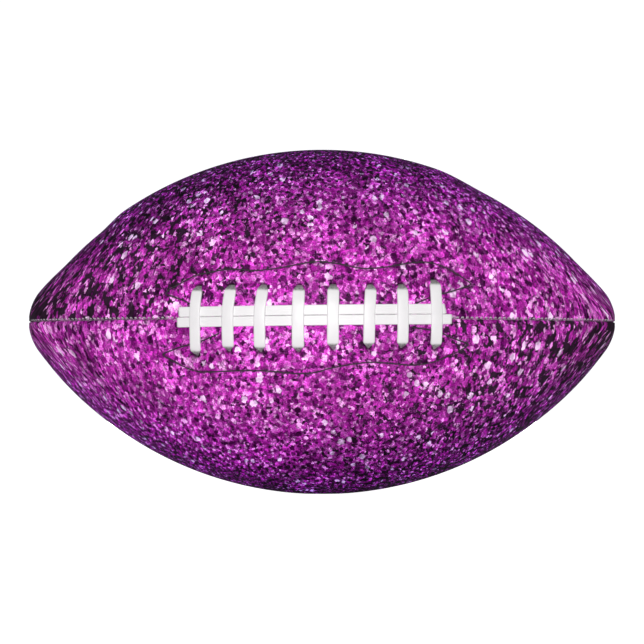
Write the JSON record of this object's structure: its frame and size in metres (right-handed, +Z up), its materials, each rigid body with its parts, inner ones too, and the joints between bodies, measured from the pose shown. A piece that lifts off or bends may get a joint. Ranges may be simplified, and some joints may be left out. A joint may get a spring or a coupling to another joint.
{
  "type": "american football",
  "caption": "Laced prolate ball of sewn synthetic-leather panels with an all-over glitter print, over linings and an air bladder with a needle valve.",
  "frame": {"origin": "centre of the ball, on its long axis midway between the tips; the lacing moves the bounding box's centre about 1.8 mm towards -Y", "axes": "+X along the ball's long axis, the lacing faces -Y, +Z up with the ball resting on its belly"},
  "size_m": [0.286, 0.1714, 0.1678],
  "materials": {
    "cover": "semi-gloss glitter print",
    "lace": "satin ribbed",
    "seam_thread": "matt thread",
    "facing_thread": "matt thread",
    "lining": "matt woven",
    "facing": "matt woven",
    "bladder": "satin",
    "valve": "satin",
    "valve_core": "satin"
  },
  "bodies": {
    "root": {"cover_panel_front_upper": "cover", "cover_panel_front_lower": "cover", "cover_panel_back_upper": "cover", "cover_panel_back_lower": "cover", "lining_front_upper": "lining", "lining_front_lower": "lining", "lining_back_upper": "lining", "lining_back_lower": "lining", "lace_facing_upper": "facing", "lace_facing_lower": "facing", "facing_stitching_upper": "facing_thread", "facing_stitching_lower": "facing_thread", "seam_thread_top": "seam_thread", "seam_thread_back": "seam_thread", "seam_thread_bottom": "seam_thread", "seam_thread_lace_left": "seam_thread", "seam_thread_lace_right": "seam_thread", "lace_strand_upper": "lace", "lace_strand_lower": "lace", "crossing_lace": "lace", "lace_tongue": "facing", "bladder": "bladder", "valve_housing": "valve", "valve_core": "valve_core"}
  },
  "joints": []
}
